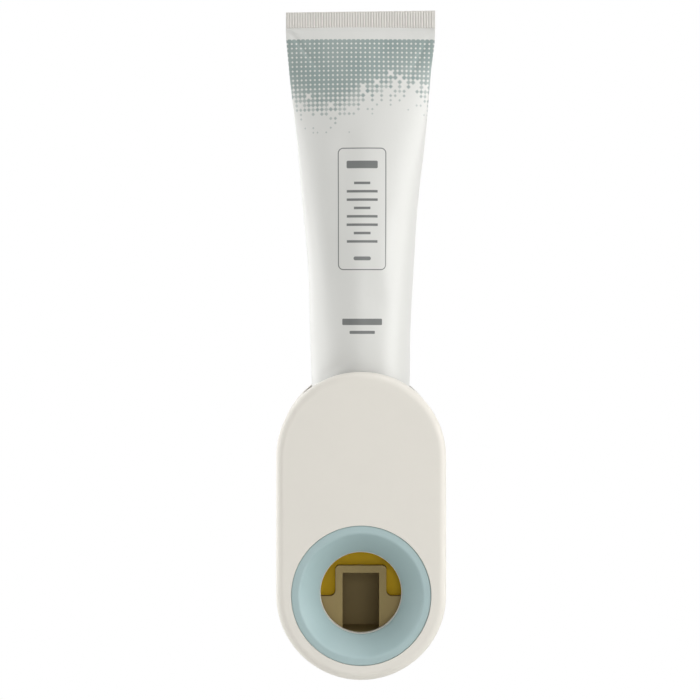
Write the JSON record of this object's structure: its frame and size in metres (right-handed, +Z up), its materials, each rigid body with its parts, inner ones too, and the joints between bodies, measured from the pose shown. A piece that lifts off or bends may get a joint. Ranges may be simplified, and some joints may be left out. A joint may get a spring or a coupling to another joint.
{
  "type": "toothpaste dispenser",
  "caption": "Wall-mounted toothpaste dispenser: a brush pushed into its round mouth moves a sprung carriage that squeezes a bulb fed by the tube standing in its top.",
  "frame": {"origin": "centre of the adhesive pad's back face, on the wall", "axes": "+Z up, the front with the round mouth faces -Y, +Y goes into the wall"},
  "size_m": [0.066, 0.0608, 0.2629],
  "materials": {
    "pad_foam": "matt closed-cell foam",
    "bracket_plastic": "moulded, fine satin",
    "cover_plastic": "warm white, fine satin moulding",
    "housing_plastic": "warm white, fine satin moulding",
    "ring_plastic": "pale blue-grey, soft gloss",
    "frame_plastic": "warm white moulding",
    "disc_plastic": "ochre moulding, satin",
    "carriage_plastic": "tan moulding, satin",
    "yoke_plastic": "moulded, satin",
    "silicone": "soft silicone, matt",
    "clip_plastic": "moulded, satin",
    "steel": "drawn steel",
    "tube_laminate": "white laminate, satin",
    "tube_head_plastic": "white moulding"
  },
  "bodies": {
    "bracket": {"adhesive_pad": "pad_foam", "wall_plate": "bracket_plastic"},
    "housing": {"rear_housing": "housing_plastic", "housing_screws": "steel", "pump_frame": "frame_plastic", "guide_disc": "disc_plastic", "disc_screws": "steel", "neck_sleeve": "silicone", "sleeve_ring": "clip_plastic", "inlet_valve": "silicone", "pump_bulb": "silicone", "bulb_clamp": "clip_plastic", "outlet_nozzle": "silicone", "nozzle_clamp": "clip_plastic", "return_springs": "steel"},
    "carriage": {"push_carriage": "carriage_plastic", "squeeze_yoke": "yoke_plastic", "yoke_screws": "steel", "guide_pins": "steel"},
    "cover": {"front_cover": "cover_plastic", "funnel_ring": "ring_plastic"},
    "tube": {"tube_head": "tube_head_plastic", "tube_body": "tube_laminate"}
  },
  "joints": [
    {"name": "housing_lift", "type": "slide", "parent": "bracket", "child": "housing", "axis": [0, 0, 1], "range_m": [0, 0.045]},
    {"name": "push_slide", "type": "slide", "parent": "housing", "child": "carriage", "axis": [0, 1, 0], "range_m": [0, 0.007], "stiffness_N_per_m": 800, "springref_m": -0.003, "deforming": ["return_springs", "pump_bulb"]},
    {"name": "cover_pull", "type": "slide", "parent": "housing", "child": "cover", "axis": [0, -1, 0], "range_m": [0, 0.04]},
    {"name": "tube_pull", "type": "slide", "parent": "housing", "child": "tube", "axis": [0, 0, 1], "range_m": [0, 0.06]}
  ]
}
